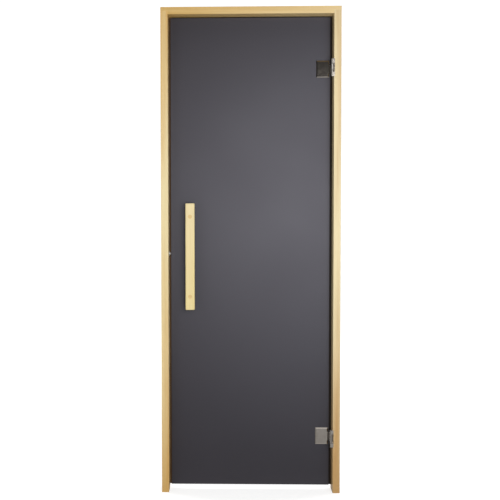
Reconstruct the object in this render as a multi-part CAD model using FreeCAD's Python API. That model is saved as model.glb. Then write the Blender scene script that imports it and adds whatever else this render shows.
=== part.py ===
import FreeCAD, Part
import os

# Sauna door: a glass leaf on two clamp hinges in a pale wooden frame, in millimetres.
# X = 0 is the hinge jamb's wall face and the doorway runs towards -X, Y = 0 is the middle of the
# frame's depth with the pull side facing -Y, and Z = 0 is the floor. Left and right are as seen
# from the pull side. The leaf is drawn closed.

V = FreeCAD.Vector
X_AXIS, Y_AXIS, Z_AXIS = V(1, 0, 0), V(0, 1, 0), V(0, 0, 1)

# Wooden frame
frame_width = 700.0
frame_height = 1900.0
frame_depth = 80.0
board_thickness = 28.0
corner_lap = 15.0            # how much of the head lies over the jamb ends
arris_radius = 1.0

# Glass leaf in its opening
glass_thickness = 8.0
glass_setback = 59.5         # frame's front to the glass's front
strike_gap = 8.0
hinge_gap = 10.0
head_gap = 5.0
floor_gap = 17.0

# Stop laths behind the glass, and the seals that fill the corner between lath and board
stop_projection = 20.0
seal_rest_gap = 0.3
seal_thickness = 3.0
seal_overlap = 6.0           # how far a seal reaches behind the glass
seal_barb_width = 2.0
seal_barb_depth = 4.0
seal_barb_inset = 5.0        # board's inner face to the middle of the barb

# Hinges
lower_hinge_height = 215.0
upper_hinge_from_top = 235.0
pivot_offset = 6.0           # jamb's inner face to the pin's centre
pivot_setback = 7.0          # frame's front to the pin's centre
knuckle_radius = 5.25
pin_radius = 2.5
pin_running_clearance = 0.05
pin_head_radius = 3.6
pin_head_height = 1.2
hinge_leaf_thickness = 3.0
hinge_leaf_height = 68.0
hinge_leaf_length = 34.0
middle_knuckle_height = 36.0
knuckle_end_gap = 0.3
arm_thickness = 4.0
arm_bend_radius = 3.0
clamp_plate_width = 50.0
clamp_plate_height = 66.0
clamp_plate_thickness = 5.0
clamp_bevel_width = 4.2      # bevel as seen from in front
clamp_bevel_depth = 3.0
clamp_plate_edge = 14.0      # jamb's inner face to the plate's near edge
clamp_gasket_thickness = 1.5
clamp_screw_spacing = 36.0
clamp_screw_radius = 3.0
clamp_screw_head_radius = 5.5
clamp_screw_grip = 4.0       # thread length inside the front plate
clamp_hole_radius = 8.0      # hole in the glass
moving_clearance = 5.0
leaf_screw_spacing = 24.0
leaf_screw_count = 3
leaf_screw_radius = 2.0
leaf_screw_head_radius = 4.0
leaf_screw_length = 22.0
leaf_screw_back_margin = 9.0

# Wooden pull handle on both sides of the glass
handle_centre = 113.0        # frame's strike side to the handle's centre line
handle_height = 932.0
handle_length = 418.0
handle_width = 36.0
handle_thickness = 24.0
handle_rounding = 4.0
handle_stand_off = 35.0
handle_bolt_spacing = 314.0
handle_bolt_radius = 4.0
handle_nut_radius = 7.0
handle_nut_height = 5.0
handle_spacer_radius = 14.0
handle_washer_thickness = 1.0
handle_washer_radius = 13.0
handle_plug_radius = 8.0
handle_plug_depth = 6.0
handle_sleeve_radius = 7.0   # hole in the glass

# Ball catch in the strike jamb
catch_height = 942.0
catch_glass_clearance = 0.5  # nose's side to the plane of the glass's front
catch_nose_radius = 6.0
catch_nose_projection = 7.5
catch_shoulder_radius = 7.0
catch_shoulder_length = 5.0
catch_running_clearance = 0.06
catch_flange_radius = 10.5
catch_flange_rim = 0.8       # upright edge of the flange
catch_flange_thickness = 3.0
catch_lip_width = 1.4        # flat ring round the nose
catch_sleeve_radius = 8.5
catch_sleeve_depth = 15.5
catch_sleeve_floor = 1.5

# Screws and fixings
socket_share = 0.6           # socket's radius and depth as a share of a screw's radius
corner_screw_radius = 2.5
corner_screw_head_radius = 5.0
corner_screw_length = 60.0
corner_screw_spacing = 40.0
fixing_hole_radius = 3.25
fixing_head_radius = 6.5
fixing_setback = 32.0        # frame's front to the line of fixing holes
fixing_end_margin = 350.0    # frame's end to the nearest fixing hole
fixing_count = 4

# Places worked out from the sizes above
y_front = -frame_depth / 2
y_back = frame_depth / 2
x_wall = 0.0
x_hinge_face = -board_thickness
x_strike_face = board_thickness - frame_width
x_strike_wall = -frame_width
z_head_face = frame_height - board_thickness
z_jamb_top = frame_height - corner_lap

glass_front = y_front + glass_setback
glass_back = glass_front + glass_thickness
glass_left = x_strike_face + strike_gap
glass_right = x_hinge_face - hinge_gap
glass_top = z_head_face - head_gap
glass_bottom = floor_gap

seal_front = glass_back + seal_rest_gap
stop_front = seal_front + seal_thickness

hinge_heights = {
    "lower": lower_hinge_height,
    "upper": frame_height - upper_hinge_from_top,
}
pivot_x = x_hinge_face - pivot_offset
pivot_y = y_front + pivot_setback
clamp_right = x_hinge_face - clamp_plate_edge
clamp_left = clamp_right - clamp_plate_width
clamp_middle = (clamp_left + clamp_right) / 2
clamp_front = glass_front - clamp_gasket_thickness - clamp_plate_thickness
clamp_back = glass_back + clamp_gasket_thickness + clamp_plate_thickness

handle_x = x_strike_wall + handle_centre
handle_bolt_heights = (
    handle_height - handle_bolt_spacing / 2,
    handle_height + handle_bolt_spacing / 2,
)
bar_gap = handle_washer_thickness + handle_stand_off
catch_y = glass_front - catch_glass_clearance - catch_nose_radius


def block(x0, x1, y0, y1, z0, z1):
    return Part.makeBox(x1 - x0, y1 - y0, z1 - z0, V(x0, y0, z0))


def rod(radius, start, direction, length):
    return Part.makeCylinder(radius, length, start, direction)


def countersunk_screw(radius, head_radius, length, head_centre, direction):
    """A screw whose flat head is level with head_centre and whose shank runs along direction."""
    head_depth = head_radius - radius
    head = Part.makeCone(head_radius, radius, head_depth, head_centre, direction)
    shank = rod(radius, head_centre, direction, length)
    return head.fuse(shank).removeSplitter()


def screw_and_socket(radius, head_radius, length, head_centre, direction):
    """A screw with the socket that its head gets once everything round it is bored."""
    screw = countersunk_screw(radius, head_radius, length, head_centre, direction)
    socket = rod(radius * socket_share, head_centre, direction, radius * socket_share)
    return screw, socket


def shafts(pairs):
    return [screw for screw, socket in pairs]


def socketed(pairs):
    return [screw.cut(socket) for screw, socket in pairs]


def long_edges(shape, axis, wanted):
    """Straight edges of a shape along an axis whose middle point passes a test."""
    picked = []
    for edge in shape.Edges:
        run = edge.Vertexes[-1].Point.sub(edge.Vertexes[0].Point)
        along = abs(run.dot(axis)) > 0.999 * run.Length > 0
        if along and wanted(edge.CenterOfMass):
            picked.append(edge)
    return picked


def eased(shape, axis, radius, wanted=lambda point: True):
    return shape.makeFillet(radius, long_edges(shape, axis, wanted))


def export(name, shapes):
    shape = shapes[0] if len(shapes) == 1 else Part.makeCompound(shapes)
    for solid in shape.Solids:
        if not solid.isValid():
            print("not valid:", name)
    shape.exportStep(f"parts/{name}.step")
    print(f"{name:22s} solids {len(shape.Solids):2d}  volume {shape.Volume / 1000:10.2f} cm3")


# Screws, drawn first because the wood is bored to fit them

def corner_screws(x_middle):
    pairs = []
    for side in (-1, 1):
        top = V(x_middle, side * corner_screw_spacing / 2, frame_height)
        pairs.append(
            screw_and_socket(
                corner_screw_radius, corner_screw_head_radius, corner_screw_length, top, -Z_AXIS
            )
        )
    return pairs


def hinge_leaf_screws(height):
    pairs = []
    y = y_front + hinge_leaf_length - leaf_screw_back_margin
    for index in range(leaf_screw_count):
        z = height + (index - (leaf_screw_count - 1) / 2) * leaf_screw_spacing
        pairs.append(
            screw_and_socket(
                leaf_screw_radius, leaf_screw_head_radius, leaf_screw_length,
                V(x_hinge_face, y, z), X_AXIS,
            )
        )
    return pairs


def bored(shape, cutters):
    for cutter in cutters:
        shape = shape.cut(cutter)
    return shape


# Frame boards

def fixing_holes(x_face, direction):
    """Countersunk holes through a jamb from its inner face to the wall."""
    holes = []
    spacing = (frame_height - 2 * fixing_end_margin) / (fixing_count - 1)
    for index in range(fixing_count):
        z = fixing_end_margin + index * spacing
        mouth = V(x_face, y_front + fixing_setback, z)
        holes.append(
            countersunk_screw(
                fixing_hole_radius, fixing_head_radius, board_thickness, mouth, direction
            )
        )
    return holes


def jamb(x0, x1):
    board = block(x0, x1, y_front, y_back, 0, z_jamb_top)
    return eased(board, Z_AXIS, arris_radius)


def hinge_leaf_recess(height):
    half = hinge_leaf_height / 2
    return block(
        x_hinge_face, x_hinge_face + hinge_leaf_thickness,
        y_front, y_front + hinge_leaf_length,
        height - half, height + half,
    )


def hinge_jamb(screws):
    board = jamb(x_hinge_face, x_wall)
    board = bored(board, [hinge_leaf_recess(z) for z in hinge_heights.values()])
    board = bored(board, fixing_holes(x_hinge_face, X_AXIS))
    return bored(board, screws)


def strike_jamb(screws):
    board = jamb(x_strike_wall, x_strike_face)
    board = bored(board, fixing_holes(x_strike_face, -X_AXIS))
    seat = rod(catch_sleeve_radius, V(x_strike_face, catch_y, catch_height), -X_AXIS, catch_sleeve_depth)
    return bored(board, [seat] + screws)


def head_board(screws):
    """The head is rebated at both ends, so that its upper part lies over the jamb ends."""
    board = block(x_strike_wall, x_wall, y_front, y_back, z_head_face, frame_height)
    board = eased(board, X_AXIS, arris_radius)
    for x0, x1 in ((x_strike_wall, x_strike_face), (x_hinge_face, x_wall)):
        board = board.cut(block(x0, x1, y_front, y_back, z_head_face, z_jamb_top))
    return bored(board, screws)


# Stop laths and seals

def side_seal(x_face, x_end):
    """A seal strip up a jamb: a flat pad from the jamb's face to behind the glass's edge, with a
    barb that is pressed into the lath."""
    towards = 1 if x_end > x_face else -1
    x_barb = x_face + towards * seal_barb_inset
    pad = block(
        min(x_face, x_end), max(x_face, x_end), seal_front, stop_front, glass_bottom, z_head_face
    )
    barb = block(
        x_barb - seal_barb_width / 2, x_barb + seal_barb_width / 2,
        stop_front, stop_front + seal_barb_depth, glass_bottom, z_head_face,
    )
    return pad.fuse(barb).removeSplitter()


def head_seal(x0, x1):
    z_barb = z_head_face - seal_barb_inset
    pad = block(x0, x1, seal_front, stop_front, glass_top - seal_overlap, z_head_face)
    barb = block(
        x0, x1, stop_front, stop_front + seal_barb_depth,
        z_barb - seal_barb_width / 2, z_barb + seal_barb_width / 2,
    )
    return pad.fuse(barb).removeSplitter()


def clamp_notch(height):
    """Room in the hinge-side lath and its seal for a hinge's back plate."""
    half = clamp_plate_height / 2 + moving_clearance
    return block(
        x_hinge_face - stop_projection, clamp_right + moving_clearance,
        glass_back, y_back, height - half, height + half,
    )


def stop_laths_and_seals():
    strike_lath = block(
        x_strike_face, x_strike_face + stop_projection, stop_front, y_back, glass_bottom, z_head_face
    )
    hinge_lath = block(
        x_hinge_face - stop_projection, x_hinge_face, stop_front, y_back, glass_bottom, z_head_face
    )
    top_lath = block(
        x_strike_face + stop_projection, x_hinge_face - stop_projection,
        stop_front, y_back, z_head_face - stop_projection, z_head_face,
    )
    strike_end = glass_left + seal_overlap
    hinge_end = glass_right - seal_overlap
    notches = [clamp_notch(z) for z in hinge_heights.values()]
    strike_strip = side_seal(x_strike_face, strike_end)
    hinge_strip = bored(side_seal(x_hinge_face, hinge_end), notches)
    top_strip = head_seal(strike_end, hinge_end)
    strips = [strike_strip, hinge_strip, top_strip]
    return {
        "strike_stop": [bored(strike_lath, strips)],
        "hinge_stop": [bored(hinge_lath, notches + strips)],
        "head_stop": [bored(top_lath, strips)],
        "strike_seal": [strike_strip],
        "hinge_seal": [hinge_strip],
        "head_seal": [top_strip],
    }


# Hinges

def hinge_leaf(height, screws):
    """The jamb's half: a plate let into the wood whose front edge turns round the pin."""
    low, high = height - hinge_leaf_height / 2, height + hinge_leaf_height / 2
    x_back = x_hinge_face + hinge_leaf_thickness
    y_tip = pivot_y - knuckle_radius
    plate = block(x_hinge_face, x_back, y_tip, y_front + hinge_leaf_length, low, high)
    turn = block(pivot_x, x_back, y_tip, y_tip + hinge_leaf_thickness, low, high)
    barrel = rod(knuckle_radius, V(pivot_x, pivot_y, low), Z_AXIS, hinge_leaf_height)
    bore = rod(pin_radius, V(pivot_x, pivot_y, low), Z_AXIS, hinge_leaf_height)
    half_window = middle_knuckle_height / 2 + knuckle_end_gap
    window = block(
        pivot_x - knuckle_radius - 1, x_back,
        y_front, pivot_y + knuckle_radius + 1,
        height - half_window, height + half_window,
    )
    leaf = plate.fuse(turn).fuse(barrel).removeSplitter()
    return bored(leaf, [bore, window] + screws)


def hinge_pin(height):
    low = height - hinge_leaf_height / 2
    pin = rod(pin_radius, V(pivot_x, pivot_y, low), Z_AXIS, hinge_leaf_height)
    heads = []
    for z, direction in ((low, -Z_AXIS), (low + hinge_leaf_height, Z_AXIS)):
        heads.append(
            Part.makeCone(
                pin_head_radius, pin_radius * 0.8, pin_head_height, V(pivot_x, pivot_y, z), direction
            )
        )
    return pin.fuse(heads).removeSplitter()


def clamp_plate(y0, y1, height):
    half = clamp_plate_height / 2
    return block(clamp_left, clamp_right, y0, y1, height - half, height + half)


def plate_outline(inset, y, height):
    """A clamp plate's rectangle at a depth y, drawn in from its full size by an inset."""
    half = clamp_plate_height / 2 - inset
    x0, x1 = clamp_left + inset, clamp_right - inset
    corners = [(x0, -half), (x1, -half), (x1, half), (x0, half), (x0, -half)]
    return Part.makePolygon([V(x, y, height + z) for x, z in corners])


def bevelled_plate(y_glass_side, y_outer, height):
    """A clamp plate with a straight rim and four broad bevels up to its flat face."""
    outward = 1 if y_outer > y_glass_side else -1
    y_rim = y_outer - outward * clamp_bevel_depth
    rim = clamp_plate(min(y_glass_side, y_rim), max(y_glass_side, y_rim), height)
    outlines = [plate_outline(0, y_rim, height), plate_outline(clamp_bevel_width, y_outer, height)]
    bevels = Part.makeLoft(outlines, True, True)
    return rim.fuse(bevels).removeSplitter()


def clamp_screw_places(height):
    return [height + side * clamp_screw_spacing / 2 for side in (-1, 1)]


def clamp_screws(height):
    """Screws from the back plate, through the glass, into blind threads in the front plate."""
    length = clamp_back - (glass_front - clamp_gasket_thickness) + clamp_screw_grip
    pairs = []
    for z in clamp_screw_places(height):
        head = V(clamp_middle, clamp_back, z)
        pairs.append(
            screw_and_socket(clamp_screw_radius, clamp_screw_head_radius, length, head, -Y_AXIS)
        )
    return pairs


def hinge_arm(height, screws):
    """The leaf's half: middle knuckle, cranked arm and front clamp plate in one piece."""
    half = middle_knuckle_height / 2
    low, high = height - half, height + half
    plate_back = clamp_front + clamp_plate_thickness
    x_near = pivot_x + arm_thickness / 2
    arm = block(pivot_x - arm_thickness / 2, x_near, pivot_y, plate_back, low, high)
    crank = block(clamp_right, x_near, clamp_front, plate_back, low, high)
    bar = arm.fuse(crank).removeSplitter()
    bar = eased(
        bar, Z_AXIS, arm_bend_radius,
        lambda point: abs(point.x - x_near) < 0.01 and abs(point.y - plate_back) < 0.01,
    )
    knuckle = rod(knuckle_radius, V(pivot_x, pivot_y, low), Z_AXIS, middle_knuckle_height)
    plate = bevelled_plate(plate_back, clamp_front, height)
    root = block(clamp_right - clamp_bevel_width, clamp_right, clamp_front, plate_back, low, high)
    bore = rod(
        pin_radius + pin_running_clearance, V(pivot_x, pivot_y, low), Z_AXIS, middle_knuckle_height
    )
    piece = plate.fuse(root).fuse(bar).fuse(knuckle).removeSplitter()
    return bored(piece, [bore] + screws)


def clamp_gaskets(height):
    gaskets = []
    for y0, y1 in (
        (glass_front - clamp_gasket_thickness, glass_front),
        (glass_back, glass_back + clamp_gasket_thickness),
    ):
        pad = clamp_plate(y0, y1, height)
        holes = [
            rod(clamp_screw_radius, V(clamp_middle, y0, z), Y_AXIS, y1 - y0)
            for z in clamp_screw_places(height)
        ]
        gaskets.append(bored(pad, holes))
    return gaskets


def glass_sleeves(places, hole_radius, bolt_radius):
    """Plastic sleeves that keep the bolts off the holes in the glass."""
    sleeves = []
    for x, z in places:
        start = V(x, glass_front, z)
        sleeve = rod(hole_radius, start, Y_AXIS, glass_thickness)
        sleeves.append(sleeve.cut(rod(bolt_radius, start, Y_AXIS, glass_thickness)))
    return sleeves


def clamp_places():
    return [(clamp_middle, z) for height in hinge_heights.values() for z in clamp_screw_places(height)]


def handle_places():
    return [(handle_x, z) for z in handle_bolt_heights]


# Glass leaf

def glass_leaf():
    pane = block(glass_left, glass_right, glass_front, glass_back, glass_bottom, glass_top)
    for places, radius in ((clamp_places(), clamp_hole_radius), (handle_places(), handle_sleeve_radius)):
        holes = [rod(radius, V(x, glass_front, z), Y_AXIS, glass_thickness) for x, z in places]
        pane = bored(pane, holes)
    return pane


# Handle: side -1 is the pull side and side 1 the hot-room side

def handle_side(side):
    """The glass face that a handle bar stands on, and the direction away from the glass."""
    face = glass_front if side < 0 else glass_back
    return face, V(0, side, 0)


def handle_bar(side, bolts):
    face, outward = handle_side(side)
    near = face + side * bar_gap
    far = near + side * handle_thickness
    half_width, half_length = handle_width / 2, handle_length / 2
    bar = block(
        handle_x - half_width, handle_x + half_width, min(near, far), max(near, far),
        handle_height - half_length, handle_height + half_length,
    )
    bar = bar.makeFillet(handle_rounding, bar.Edges)
    pocket = handle_plug_depth + handle_nut_height
    for x, z in handle_places():
        bar = bar.cut(rod(handle_plug_radius, V(x, far, z), -outward, pocket))
    return bored(bar, bolts)


def handle_bolts():
    """Threaded rods through both bars with a round nut sunk into each of them."""
    reach = bar_gap + handle_thickness - handle_plug_depth
    start, end = glass_front - reach, glass_back + reach
    bolts = []
    for x, z in handle_places():
        bolt = rod(handle_bolt_radius, V(x, start, z), Y_AXIS, end - start)
        for y in (start, end - handle_nut_height):
            bolt = bolt.fuse(rod(handle_nut_radius, V(x, y, z), Y_AXIS, handle_nut_height))
        bolts.append(bolt.removeSplitter())
    return bolts


def handle_rings(side, start, length, radius):
    """Round pieces on the bolts: spacers and washers, bored for the bolt."""
    face, outward = handle_side(side)
    rings = []
    for x, z in handle_places():
        foot = V(x, face + side * start, z)
        ring = rod(radius, foot, outward, length)
        rings.append(ring.cut(rod(handle_bolt_radius, foot, outward, length)))
    return rings


def handle_plugs(side):
    face, outward = handle_side(side)
    outer = face + side * (bar_gap + handle_thickness)
    return [rod(handle_plug_radius, V(x, outer, z), -outward, handle_plug_depth) for x, z in handle_places()]


# Ball catch

def catch_sleeve():
    """A sleeve let into the jamb, with a flange that slopes up to the nose."""
    mouth = V(x_strike_face, catch_y, catch_height)
    tube = rod(catch_sleeve_radius, mouth, -X_AXIS, catch_sleeve_depth)
    rim = rod(catch_flange_radius, mouth, X_AXIS, catch_flange_rim)
    slope = Part.makeCone(
        catch_flange_radius, catch_nose_radius + catch_lip_width,
        catch_flange_thickness - catch_flange_rim, mouth + X_AXIS * catch_flange_rim, X_AXIS,
    )
    flange = rim.fuse(slope)
    lip_bore = rod(
        catch_nose_radius + catch_running_clearance, mouth, X_AXIS, catch_flange_thickness
    )
    chamber = rod(
        catch_shoulder_radius + catch_running_clearance, mouth, -X_AXIS,
        catch_sleeve_depth - catch_sleeve_floor,
    )
    return bored(tube.fuse(flange).removeSplitter(), [lip_bore, chamber])


def catch_nose():
    """A round-ended plunger kept in its sleeve by a shoulder behind the flange."""
    shoulder_face = x_strike_face - catch_running_clearance
    ball_centre = x_strike_face + catch_nose_projection - catch_nose_radius
    shoulder = rod(
        catch_shoulder_radius, V(shoulder_face, catch_y, catch_height), -X_AXIS, catch_shoulder_length
    )
    shank = rod(
        catch_nose_radius, V(shoulder_face, catch_y, catch_height), X_AXIS, ball_centre - shoulder_face
    )
    ball = Part.makeSphere(catch_nose_radius, V(ball_centre, catch_y, catch_height))
    return shoulder.fuse(shank).fuse(ball).removeSplitter()


def build():
    os.makedirs("parts", exist_ok=True)
    right_screws = corner_screws(x_hinge_face / 2)
    left_screws = corner_screws((x_strike_wall + x_strike_face) / 2)
    leaf_screws = {name: hinge_leaf_screws(z) for name, z in hinge_heights.items()}
    all_leaf_screws = [pair for pairs in leaf_screws.values() for pair in pairs]

    export("hinge_jamb", [hinge_jamb(shafts(right_screws + all_leaf_screws))])
    export("strike_jamb", [strike_jamb(shafts(left_screws))])
    export("head", [head_board(shafts(left_screws + right_screws))])
    export("corner_screws", socketed(left_screws + right_screws))
    for name, solids in stop_laths_and_seals().items():
        export(name, solids)

    export("glass", [glass_leaf()])
    for name, height in hinge_heights.items():
        screws = clamp_screws(height)
        back_plate = bored(
            bevelled_plate(clamp_back - clamp_plate_thickness, clamp_back, height), shafts(screws)
        )
        export(f"{name}_hinge_leaf", [hinge_leaf(height, shafts(leaf_screws[name]))])
        export(f"{name}_hinge_leaf_screws", socketed(leaf_screws[name]))
        export(f"{name}_hinge_pin", [hinge_pin(height)])
        export(f"{name}_hinge_arm", [hinge_arm(height, shafts(screws))])
        export(f"{name}_hinge_back_plate", [back_plate])
        export(f"{name}_hinge_gaskets", clamp_gaskets(height))
        export(f"{name}_hinge_clamp_screws", socketed(screws))
    export("clamp_sleeves", glass_sleeves(clamp_places(), clamp_hole_radius, clamp_screw_radius))

    bolts = handle_bolts()
    for name, side in (("front", -1), ("back", 1)):
        export(f"handle_{name}_bar", [handle_bar(side, bolts)])
        export(
            f"handle_{name}_spacers",
            handle_rings(side, handle_washer_thickness, handle_stand_off, handle_spacer_radius),
        )
        export(
            f"handle_{name}_washers",
            handle_rings(side, 0, handle_washer_thickness, handle_washer_radius),
        )
        export(f"handle_{name}_plugs", handle_plugs(side))
    export("handle_bolts", bolts)
    export("handle_sleeves", glass_sleeves(handle_places(), handle_sleeve_radius, handle_bolt_radius))

    export("catch_sleeve", [catch_sleeve()])
    export("catch_nose", [catch_nose()])


build()
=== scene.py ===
import math

import bmesh
import bpy
from mathutils import Matrix, Vector


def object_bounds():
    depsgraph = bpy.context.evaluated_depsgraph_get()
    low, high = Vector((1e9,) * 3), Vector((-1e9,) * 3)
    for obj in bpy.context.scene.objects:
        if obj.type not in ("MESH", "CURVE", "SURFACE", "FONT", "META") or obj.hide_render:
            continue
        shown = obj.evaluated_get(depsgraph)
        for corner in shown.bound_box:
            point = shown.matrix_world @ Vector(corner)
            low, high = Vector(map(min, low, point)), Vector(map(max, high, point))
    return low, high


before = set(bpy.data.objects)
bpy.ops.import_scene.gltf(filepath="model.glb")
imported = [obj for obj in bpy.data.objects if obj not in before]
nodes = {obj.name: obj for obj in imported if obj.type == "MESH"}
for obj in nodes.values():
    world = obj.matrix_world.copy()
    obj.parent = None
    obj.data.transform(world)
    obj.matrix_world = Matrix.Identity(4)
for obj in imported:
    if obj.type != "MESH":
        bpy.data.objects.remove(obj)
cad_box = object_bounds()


# Hinge jamb, strike jamb and head
# Three boards of pale, clear softwood, planed and left bare, 28 by 80 mm in section. The head's
# rebated ends lie over the jambs, so that its grain runs right across the top of the door.

def new_material(name):
    material = bpy.data.materials.new(name)
    material.use_nodes = True
    tree = material.node_tree
    tree.nodes.clear()
    output = tree.nodes.new("ShaderNodeOutputMaterial")
    shader = tree.nodes.new("ShaderNodeBsdfPrincipled")
    tree.links.new(shader.outputs["BSDF"], output.inputs["Surface"])
    return material, tree, shader


def object_mapping(tree, rotation=(0, 0, 0)):
    place = tree.nodes.new("ShaderNodeTexCoord")
    mapping = tree.nodes.new("ShaderNodeMapping")
    mapping.inputs["Rotation"].default_value = rotation
    tree.links.new(place.outputs["Object"], mapping.inputs["Vector"])
    return mapping.outputs["Vector"]


def stretched(tree, vector, scale):
    mapping = tree.nodes.new("ShaderNodeMapping")
    mapping.inputs["Scale"].default_value = scale
    tree.links.new(vector, mapping.inputs["Vector"])
    return mapping.outputs["Vector"]


def on_axis(tree, vector, axis):
    parts = tree.nodes.new("ShaderNodeSeparateXYZ")
    tree.links.new(vector, parts.inputs["Vector"])
    return parts.outputs[axis]


def calculated(tree, operation, *values):
    step = tree.nodes.new("ShaderNodeMath")
    step.operation = operation
    for value, socket in zip(values, step.inputs):
        tree.links.new(value, socket)
    return step.outputs["Value"]


def noise(tree, vector, scale, detail=2.0, roughness=0.5, output="Fac"):
    texture = tree.nodes.new("ShaderNodeTexNoise")
    texture.inputs["Scale"].default_value = scale
    texture.inputs["Detail"].default_value = detail
    texture.inputs["Roughness"].default_value = roughness
    tree.links.new(vector, texture.inputs["Vector"])
    return texture.outputs[output]


def ramp(tree, factor, stops):
    colours = tree.nodes.new("ShaderNodeValToRGB")
    band = colours.color_ramp
    while len(band.elements) < len(stops):
        band.elements.new(0.5)
    for element, (position, colour) in zip(band.elements, stops):
        element.position = position
        element.color = (*colour, 1.0)
    tree.links.new(factor, colours.inputs["Fac"])
    return colours.outputs["Color"]


def spread(tree, factor, low, high, from_low=0.3, from_high=0.7, easing="LINEAR"):
    """A value's range, for a noise its middle range, stretched over low to high."""
    mapped = tree.nodes.new("ShaderNodeMapRange")
    mapped.interpolation_type = easing
    mapped.inputs["From Min"].default_value = from_low
    mapped.inputs["From Max"].default_value = from_high
    mapped.inputs["To Min"].default_value = low
    mapped.inputs["To Max"].default_value = high
    tree.links.new(factor, mapped.inputs["Value"])
    return mapped.outputs["Result"]


def tinted(tree, colour, factor, amount, shade):
    """A colour multiplied by a shade where factor is high."""
    mix = tree.nodes.new("ShaderNodeMix")
    mix.data_type = "RGBA"
    mix.blend_type = "MULTIPLY"
    strength = spread(tree, factor, 0.0, amount)
    tree.links.new(strength, mix.inputs["Factor"])
    tree.links.new(colour, mix.inputs["A"])
    mix.inputs["B"].default_value = (*shade, 1.0)
    return mix.outputs["Result"]


def bumped(tree, shader, heights, distance):
    """Surface relief from one or more heights, each with its strength."""
    normal = None
    for height, strength in heights:
        bump = tree.nodes.new("ShaderNodeBump")
        bump.inputs["Strength"].default_value = strength
        bump.inputs["Distance"].default_value = distance
        tree.links.new(height, bump.inputs["Height"])
        if normal:
            tree.links.new(normal, bump.inputs["Normal"])
        normal = bump.outputs["Normal"]
    tree.links.new(normal, shader.inputs["Normal"])


GRAIN_UPRIGHT = (0.0, 0.0, 0.0)
GRAIN_LEVEL = (0.0, math.radians(90), 0.0)


def growth_rings(tree, turned, pith):
    """Rings about the pith, which sway a little along the grain."""
    sway_stretch, sway_reach = (5.0, 5.0, 0.9), 0.035
    swaying = stretched(tree, turned, sway_stretch)
    sway = noise(tree, swaying, scale=1.0, detail=3.0, output="Color")
    bend = tree.nodes.new("ShaderNodeVectorMath")
    bend.operation = "MULTIPLY_ADD"
    bend.inputs[1].default_value = (sway_reach, sway_reach, 0.0)
    bend.inputs[2].default_value = (-pith[0], -pith[1], 0.0)
    tree.links.new(sway, bend.inputs[0])
    placed = tree.nodes.new("ShaderNodeVectorMath")
    placed.operation = "ADD"
    tree.links.new(turned, placed.inputs[0])
    tree.links.new(bend.outputs["Vector"], placed.inputs[1])
    rings = tree.nodes.new("ShaderNodeTexWave")
    rings.wave_type = "RINGS"
    rings.rings_direction = "Z"
    rings.wave_profile = "SAW"
    rings.inputs["Scale"].default_value = 85.0
    rings.inputs["Distortion"].default_value = 1.2
    rings.inputs["Detail"].default_value = 2.0
    rings.inputs["Detail Scale"].default_value = 1.5
    tree.links.new(placed.outputs["Vector"], rings.inputs["Vector"])
    return rings.outputs["Fac"]


def painted_light_share(tree, turned, painted_light_stops):
    """The share of cream along the grain, which paints light and shade on the board, from pairs
    of a place in metres and the share there.
    """
    first, last = painted_light_stops[0][0], painted_light_stops[-1][0]
    way = spread(tree, on_axis(tree, turned, "Z"), 0.0, 1.0, first, last)
    return ramp(tree, way, [((place - first) / (last - first), (share, share, share))
                            for place, share in painted_light_stops])


def planed_softwood(name, grain, pith, painted_light_stops, cream, honey):
    """Clear softwood: growth rings about a pith outside the board, streaks and fibres drawn out
    along the grain, and a slow drift between honey and cream that is painted light and shade."""
    fibre_stretch = (1.0, 1.0, 0.035)
    ring_shade, streak_shade, fibre_shade = (0.78, 0.60, 0.42), (0.86, 0.74, 0.58), (0.84, 0.76, 0.66)
    material, tree, shader = new_material(name)
    turned = object_mapping(tree, rotation=grain)
    rings = growth_rings(tree, turned, pith)
    drawn_out = stretched(tree, turned, fibre_stretch)
    broad = noise(tree, drawn_out, scale=45.0, detail=3.0)
    streaks = noise(tree, drawn_out, scale=260.0, detail=4.0, roughness=0.6)
    fibre = noise(tree, drawn_out, scale=1500.0, detail=3.0, roughness=0.7)
    # The drift along the grain is painted light and shade: palest where the lamps fall brightest.
    drift = painted_light_share(tree, turned, painted_light_stops)
    tone_and_painted_light = calculated(tree, "ADD", spread(tree, broad, -0.3, 0.3), drift)
    colour = ramp(tree, tone_and_painted_light, ((0.0, honey), (1.0, cream)))
    colour = tinted(tree, colour, rings, amount=0.22, shade=ring_shade)
    colour = tinted(tree, colour, streaks, amount=0.28, shade=streak_shade)
    colour = tinted(tree, colour, fibre, amount=0.25, shade=fibre_shade)
    tree.links.new(colour, shader.inputs["Base Color"])
    tree.links.new(spread(tree, fibre, 0.42, 0.58), shader.inputs["Roughness"])
    shader.inputs["Specular IOR Level"].default_value = 0.35
    bumped(tree, shader, ((rings, 0.08), (fibre, 0.25)), distance=0.0003)
    return material


def dress(names, material):
    for name in names:
        slots = nodes[name].data.materials
        slots.clear()
        slots.append(material)


pale_cream, pale_honey = (0.79, 0.69, 0.43), (0.54, 0.34, 0.138)
deep_cream, deep_honey = (0.80, 0.69, 0.40), (0.66, 0.42, 0.14)
head_cream, head_honey = (0.76, 0.60, 0.315), (0.63, 0.42, 0.14)
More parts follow.
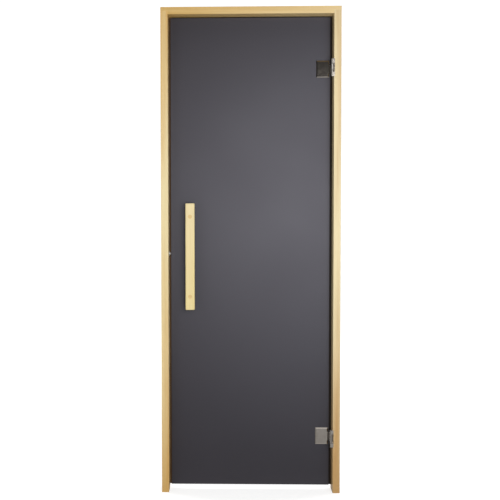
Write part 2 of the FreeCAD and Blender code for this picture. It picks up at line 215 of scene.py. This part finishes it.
# Where along the grain each board turns from honey to cream: painted light and shade, palest near the
# height of the lamps and deeper towards the floor and the top; the head is palest at its hinge end.
pale_painted_light = ((0.05, 0.0), (0.5, 0.62), (1.0, 0.95), (1.9, 0.66))
deep_painted_light = ((0.0, 0.0), (0.5, 0.7), (0.9, 0.8), (1.2, 1.0), (1.9, 0.15))
head_painted_light = ((0.0, 1.0), (0.7, 0.05))
low_corner, high_corner = cad_box
hinge_edge, strike_edge, top_edge = high_corner.x, low_corner.x, high_corner.z
pith_beside, pith_before = 0.06, -0.07
dress(["hinge_jamb"], planed_softwood(
    "hinge_jamb_wood", GRAIN_UPRIGHT, (hinge_edge + pith_beside, pith_before),
    pale_painted_light, pale_cream, pale_honey))
dress(["strike_jamb"], planed_softwood(
    "strike_jamb_wood", GRAIN_UPRIGHT, (strike_edge - pith_beside, pith_before),
    deep_painted_light, deep_cream, deep_honey))
dress(["head"], planed_softwood(
    "head_wood", GRAIN_LEVEL, (top_edge + pith_beside, pith_before),
    head_painted_light, head_cream, head_honey))


# Stop laths
# Slim laths of the same wood, planted on the frame behind the glass. The one on the hinge side
# is notched behind each hinge to let its back plate swing clear.

hinge_lath_pith = (hinge_edge - 0.05, 0.10)
strike_lath_pith = (strike_edge + 0.05, 0.11)
head_lath_pith = (top_edge - 0.10, 0.10)
dress(["hinge_stop"], planed_softwood(
    "hinge_stop_wood", GRAIN_UPRIGHT, hinge_lath_pith, pale_painted_light, pale_cream, pale_honey))
dress(["strike_stop"], planed_softwood(
    "strike_stop_wood", GRAIN_UPRIGHT, strike_lath_pith, deep_painted_light, deep_cream, deep_honey))
dress(["head_stop"], planed_softwood(
    "head_stop_wood", GRAIN_LEVEL, head_lath_pith, head_painted_light, deep_cream, deep_honey))


# Seals
# Silicone strips pressed into the laths, which the closed glass rests against: black, and brown on
# the strike side as painted shade of the wood seen through the gap. The same black rubber pads the
# hinge clamps and the feet of the handle.

def rubber(name, dark, light):
    material, tree, shader = new_material(name)
    grain = noise(tree, object_mapping(tree), scale=900.0, detail=3.0)
    colour = ramp(tree, grain, ((0.35, dark), (0.65, light)))
    tree.links.new(colour, shader.inputs["Base Color"])
    tree.links.new(spread(tree, grain, 0.50, 0.66), shader.inputs["Roughness"])
    shader.inputs["Specular IOR Level"].default_value = 0.12
    bumped(tree, shader, ((grain, 0.12),), distance=0.0002)
    return material


black_parts = ("hinge_seal", "head_seal", "_gaskets", "_washers")
dress([name for name in nodes if name.endswith(black_parts)],
      rubber("black_rubber", dark=(0.012, 0.008, 0.005), light=(0.026, 0.018, 0.011)))
# The strike seal's brown is painted shade: it stands in for the shaded wood seen through the gap.
dress(["strike_seal"],
      rubber("painted_shade_brown_rubber", dark=(0.064, 0.033, 0.013), light=(0.100, 0.055, 0.023)))


# Glass leaf
# One pane of 8 mm tempered glass, tinted dark grey and etched to a satin face, with ground and
# polished edges. It hangs in the hinge clamps and carries the handle.

def satin_grey_glass():
    """The faces across Y are etched, and the edges, which face X and Z, are polished."""
    deep_tint, pale_tint = (0.0115, 0.0085, 0.0100), (0.0135, 0.0100, 0.0120)
    cool_gloss, edge_roughness = (0.87, 0.875, 1.0), 0.08
    material, tree, shader = new_material("satin_grey_glass")
    vector = object_mapping(tree)
    cloud = noise(tree, vector, scale=2.6)
    etch = noise(tree, vector, scale=1400.0)
    colour = ramp(tree, cloud, ((0.35, deep_tint), (0.65, pale_tint)))
    tree.links.new(colour, shader.inputs["Base Color"])
    facing = tree.nodes.new("ShaderNodeTexCoord")
    on_face = calculated(tree, "ABSOLUTE", on_axis(tree, facing.outputs["Normal"], "Y"))
    finish = tree.nodes.new("ShaderNodeMix")
    finish.inputs["A"].default_value = edge_roughness
    tree.links.new(on_face, finish.inputs["Factor"])
    tree.links.new(spread(tree, cloud, 0.44, 0.48), finish.inputs["B"])
    tree.links.new(finish.outputs["Result"], shader.inputs["Roughness"])
    shader.inputs["IOR"].default_value = 1.52
    shader.inputs["Specular IOR Level"].default_value = 0.58
    shader.inputs["Specular Tint"].default_value = (*cool_gloss, 1.0)
    bumped(tree, shader, ((etch, 0.05),), distance=0.0001)
    return material


dress(["glass"], satin_grey_glass())


# Hinges
# Two clamp hinges of polished nickel plate: a leaf let into the jamb, a pin, and a cranked arm
# whose front plate is drawn against the glass by screws from the plate behind.

def metal(name, deep, pale, scale, detail):
    """A metal between two tones, which drift with its grain."""
    material, tree, shader = new_material(name)
    vector = object_mapping(tree)
    grain = noise(tree, vector, scale, detail)
    tree.links.new(ramp(tree, grain, ((0.3, deep), (0.7, pale))), shader.inputs["Base Color"])
    shader.inputs["Metallic"].default_value = 1.0
    return material, tree, shader, vector, grain


def polished_nickel():
    """Buffed bright on the plates, and a little duller on the barrels, which stand before them."""
    barrel_depth, plate_depth, barrel_dulling = -0.026, -0.016, 0.15
    material, tree, shader, vector, haze = metal(
        "polished_nickel", deep=(0.325, 0.297, 0.266), pale=(0.352, 0.324, 0.293),
        scale=60.0, detail=3.0)
    depth = on_axis(tree, vector, "Y")
    barrel = spread(tree, depth, barrel_dulling, 0.0, barrel_depth, plate_depth)
    polish = spread(tree, haze, 0.07, 0.10)
    tree.links.new(calculated(tree, "ADD", polish, barrel), shader.inputs["Roughness"])
    return material


hinge_parts = ("_hinge_leaf", "_hinge_arm", "_hinge_back_plate", "_hinge_pin")
dress([name for name in nodes if name.endswith(hinge_parts)], polished_nickel())


# Screws and bolts
# Stainless steel wood screws at the corners and hinge leaves, machine screws in the clamps and
# threaded rods through the handle.

def stainless_steel():
    material, tree, shader, _, grain = metal(
        "stainless_steel", deep=(0.42, 0.42, 0.42), pale=(0.52, 0.52, 0.51),
        scale=1600.0, detail=2.0)
    tree.links.new(spread(tree, grain, 0.28, 0.4), shader.inputs["Roughness"])
    return material


dress([name for name in nodes if name.endswith(("_screws", "_bolts"))], stainless_steel())


# Sleeves in the glass
# Short nylon tubes pressed into the holes drilled in the glass, so that the clamp screws and the
# handle's bolts never bear on its edges.

def natural_nylon():
    material, tree, shader = new_material("natural_nylon")
    mottle = noise(tree, object_mapping(tree), scale=300.0)
    colour = ramp(tree, mottle, ((0.3, (0.62, 0.61, 0.57)), (0.7, (0.70, 0.69, 0.65))))
    tree.links.new(colour, shader.inputs["Base Color"])
    shader.inputs["Roughness"].default_value = 0.45
    return material


dress(["clamp_sleeves", "handle_sleeves"], natural_nylon())


# Handle
# Two straight bars of sanded pale wood, one each side of the glass, on turned spacers. Round
# plugs cover the ends of the bolts that run through both bars.

handle_cream, handle_honey = (0.80, 0.695, 0.405), (0.79, 0.665, 0.32)
plug_cream, plug_honey = (0.75, 0.58, 0.28), (0.735, 0.55, 0.255)
# Where along the bars they turn from honey to cream: painted light, paler towards the lamp's height.
handle_painted_light = ((0.75, 0.0), (1.15, 1.0))
bar_pith, spacer_pith, plug_pith = (-0.66, -0.10), (-0.60, -0.09), (0.80, -0.10)
bar_wood = planed_softwood(
    "handle_wood", GRAIN_UPRIGHT, bar_pith, handle_painted_light, handle_cream, handle_honey)
spacer_wood = planed_softwood(
    "spacer_wood", GRAIN_UPRIGHT, spacer_pith, handle_painted_light, handle_cream, handle_honey)
plug_wood = planed_softwood(
    "plug_wood", GRAIN_LEVEL, plug_pith, handle_painted_light, plug_cream, plug_honey)
dress(["handle_front_bar", "handle_back_bar"], bar_wood)
dress(["handle_front_spacers", "handle_back_spacers"], spacer_wood)
dress(["handle_front_plugs", "handle_back_plugs"], plug_wood)


# Ball catch
# A flanged sleeve pressed into a bore in the strike jamb, with a round nose sprung inside it, both
# turned and plated with satin nickel. The nose's bulge holds the closed glass.

def satin_nickel():
    material, tree, shader, _, grain = metal(
        "satin_nickel", deep=(0.86, 0.84, 0.81), pale=(0.92, 0.90, 0.87),
        scale=800.0, detail=3.0)
    tree.links.new(spread(tree, grain, 0.36, 0.44), shader.inputs["Roughness"])
    return material


dress(["catch_sleeve", "catch_nose"], satin_nickel())


# Floor and backdrop
# A round studio of pale paper, whose floor turns up in a cove into a wall. The camera sees it white
# apart from the door's shadow, and metal mirrors it white behind the door and dim before it.

scene = bpy.context.scene
door_middle = (hinge_edge + strike_edge) / 2


def round_studio():
    radius, height, cove = 9.0, 5.5, 2.0
    mesh = bmesh.new()
    profile = ((0, 0, 0), (radius, 0, 0), (radius, 0, height))
    centre, rim, top = [mesh.verts.new(point) for point in profile]
    mesh.edges.new((centre, rim))
    mesh.edges.new((rim, top))
    bmesh.ops.bevel(
        mesh, geom=[rim], offset=cove, offset_type="OFFSET", affect="VERTICES",
        segments=12, profile=0.5, material=-1,
    )
    bmesh.ops.spin(
        mesh, geom=mesh.verts[:] + mesh.edges[:], cent=(0, 0, 0), axis=(0, 0, 1),
        angle=math.radians(360), steps=96, use_merge=True,
    )
    bmesh.ops.remove_doubles(mesh, verts=mesh.verts, dist=1e-5)
    bmesh.ops.recalc_face_normals(mesh, faces=mesh.faces)
    for face in mesh.faces:
        face.smooth = True
        if face.normal.z < 0:
            face.normal_flip()
    bmesh.ops.translate(mesh, verts=mesh.verts, vec=(door_middle, 0, 0))
    data = bpy.data.meshes.new("studio")
    mesh.to_mesh(data)
    mesh.free()
    studio = bpy.data.objects.new("studio", data)
    scene.collection.objects.link(studio)
    return studio


def reach(tree, value, start, end, low=0.0, high=1.0):
    """A value eased from low at start to high at end."""
    return spread(tree, value, low, high, start, end, easing="SMOOTHSTEP")


def studio_paper():
    """White that glows for the camera. Near the door the paper glows less, so that the shadow shows,
    and what metal mirrors fades from white to dim grey across the floor and along the wall."""
    paper = 0.46
    near, far, glow_near, glow_far = 1.5, 4.0, 0.69, 1.0
    floor_dim, floor_white = -0.35, 0.15
    wall_dim, wall_white = -3.5, -0.5
    floor_end, wall_start = 4.0, 8.0
    grey_low, grey_high, dim_low, dim_high = 1.2, 2.6, 0.04, 0.02
    material, tree, shader = new_material("studio_paper")
    shader.inputs["Base Color"].default_value = (paper, paper, paper, 1)
    shader.inputs["Roughness"].default_value = 0.9
    shader.inputs["Specular IOR Level"].default_value = 0.0
    place = object_mapping(tree)
    length = tree.nodes.new("ShaderNodeVectorMath")
    length.operation = "LENGTH"
    tree.links.new(place, length.inputs[0])
    distance = length.outputs["Value"]
    behind = on_axis(tree, place, "Y")
    white = reach(tree, distance, near, far, glow_near, glow_far)
    white_floor = reach(tree, behind, floor_dim, floor_white)
    wall_side = reach(tree, behind, wall_dim, wall_white)
    on_wall = reach(tree, distance, floor_end, wall_start)
    white_wall = calculated(tree, "MULTIPLY", wall_side, on_wall)
    white_side = calculated(tree, "MAXIMUM", white_floor, white_wall)
    grey = reach(tree, on_axis(tree, place, "Z"), grey_low, grey_high, dim_low, dim_high)
    mirrored = calculated(tree, "MAXIMUM", calculated(tree, "MULTIPLY", white_side, white), grey)
    rays = tree.nodes.new("ShaderNodeLightPath").outputs
    reflected = calculated(tree, "MAXIMUM", rays["Is Glossy Ray"], rays["Is Transmission Ray"])
    seen_glow = calculated(tree, "MULTIPLY", white, rays["Is Camera Ray"])
    mirrored_glow = calculated(tree, "MULTIPLY", mirrored, reflected)
    glow = calculated(tree, "ADD", seen_glow, mirrored_glow)
    shader.inputs["Emission Color"].default_value = (1, 1, 1, 1)
    tree.links.new(glow, shader.inputs["Emission Strength"])
    return material


studio = round_studio()
studio.data.materials.append(studio_paper())


# Lights
# A large soft lamp stands before the handle, with small cool ones to its right, to its left and
# low down. One overhead and two behind light edges and back, and a dim warm world fills the rest.

def soft_lamp(name, place, aim, size, power, colour=(1, 1, 1)):
    data = bpy.data.lights.new(name, "AREA")
    data.shape = "RECTANGLE"
    data.size, data.size_y = size
    data.energy = power
    data.color = colour
    lamp = bpy.data.objects.new(name, data)
    lamp.location = place
    lamp.rotation_euler = (Vector(aim) - Vector(place)).to_track_quat("-Z", "Y").to_euler()
    scene.collection.objects.link(lamp)


leaf_middle = (door_middle, 0.0, 1.0)
soft_lamp("front_lamp", place=(0.06, -2.5, 1.21), aim=(door_middle, 0.0, 1.15),
          size=(1.5, 1.26), power=42.6, colour=(1.0, 0.985, 0.97))
soft_lamp("right_lamp", place=(0.95, -2.0, 1.75), aim=(-0.2, 0.0, 1.20),
          size=(0.7, 0.9), power=8.5, colour=(0.86, 0.92, 1.0))
soft_lamp("left_lamp", place=(-2.0, -1.9, 1.2), aim=leaf_middle,
          size=(0.8, 2.0), power=11, colour=(0.88, 0.94, 1.0))
soft_lamp("low_lamp", place=(0.1, -1.9, 0.35), aim=(-0.3, 0.0, 1.2),
          size=(0.7, 0.4), power=1.8, colour=(0.75, 0.87, 1.0))
for side, x in (("left", -4.2), ("right", 3.5)):
    soft_lamp(f"back_{side}_lamp", place=(x, 2.0, 2.8), aim=leaf_middle, size=(2.0, 1.5), power=118)
soft_lamp("top_lamp", place=(door_middle, -0.5, 4.6), aim=(door_middle, -0.5, 0.0),
          size=(3.0, 4.6), power=50)

world = bpy.data.worlds.new("warm_world")
world.use_nodes = True
background = world.node_tree.nodes["Background"]
background.inputs["Color"].default_value = (1.0, 0.92, 0.82, 1)
background.inputs["Strength"].default_value = 0.16
scene.world = world
scene.view_settings.view_transform = "Standard"


# Camera
# It stands at chest height, left of the door's middle, and looks slightly down. The door stood
# right of the middle of the wider picture, which the shift repeats.

picture_width = 500.0
focal_pixels = 987.2
middle_pixel = 200.0
camera_place = (-0.4386, -3.8922, 1.1311)
pan_degrees, tilt_degrees, roll_degrees = 1.625, 2.563, -0.113
camera_data = bpy.data.cameras.new("camera")
camera_data.sensor_width = 36.0
camera_data.lens = camera_data.sensor_width * focal_pixels / picture_width
camera_data.shift_x = (picture_width / 2 - middle_pixel) / picture_width
camera_data.clip_end = 60.0
camera = bpy.data.objects.new("camera", camera_data)
pan = Matrix.Rotation(math.radians(pan_degrees), 4, "Z")
tilt = Matrix.Rotation(math.radians(90 - tilt_degrees), 4, "X")
roll = Matrix.Rotation(math.radians(roll_degrees), 4, "Z")
camera.matrix_world = Matrix.Translation(camera_place) @ pan @ tilt @ roll
scene.collection.objects.link(camera)
scene.camera = camera
